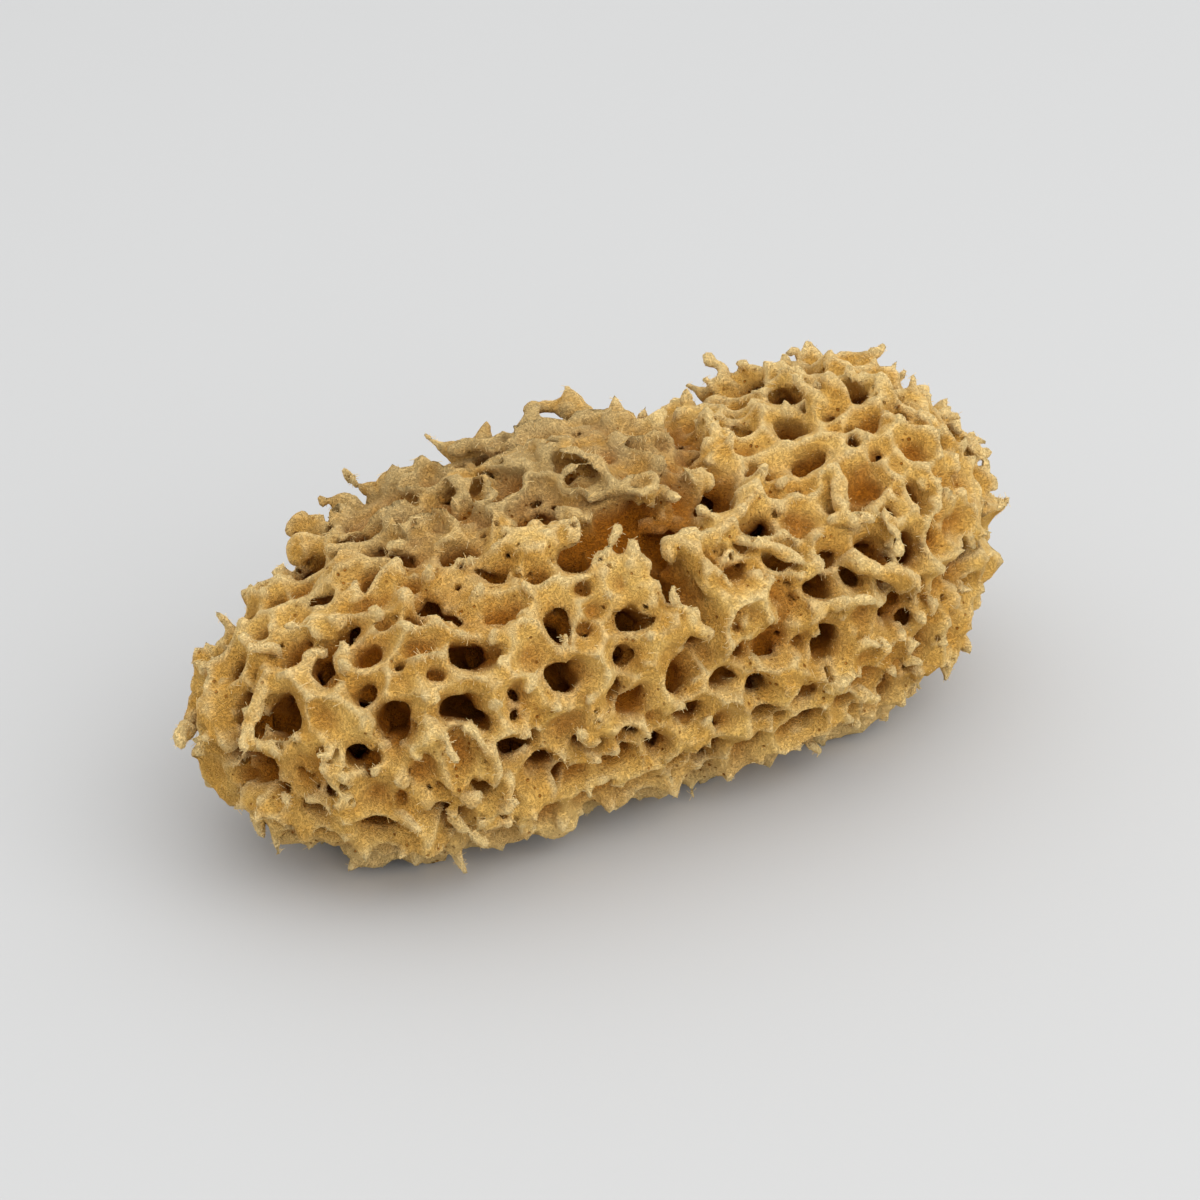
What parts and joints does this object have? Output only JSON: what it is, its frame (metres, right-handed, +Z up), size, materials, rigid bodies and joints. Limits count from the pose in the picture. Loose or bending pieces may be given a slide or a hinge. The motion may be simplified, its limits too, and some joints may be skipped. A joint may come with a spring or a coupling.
{
  "type": "sea sponge",
  "caption": "Natural honeycomb bath sponge: a long rounded loaf of golden, felted fibre with large open pores, spiky thin walls and a flat underside to rest on.",
  "frame": {"origin": "middle of the flat underside, on the surface the sponge rests on", "axes": "+X along the sponge towards its taller lobe, +Z up from the underside, -Y towards the front flank"},
  "size_m": [0.15, 0.072, 0.0564],
  "materials": {
    "sponge_fibre": "dry felted fibre, golden brown, paler on the ridges and darker in the pores"
  },
  "bodies": {
    "root": {"sponge": "sponge_fibre"}
  },
  "joints": []
}
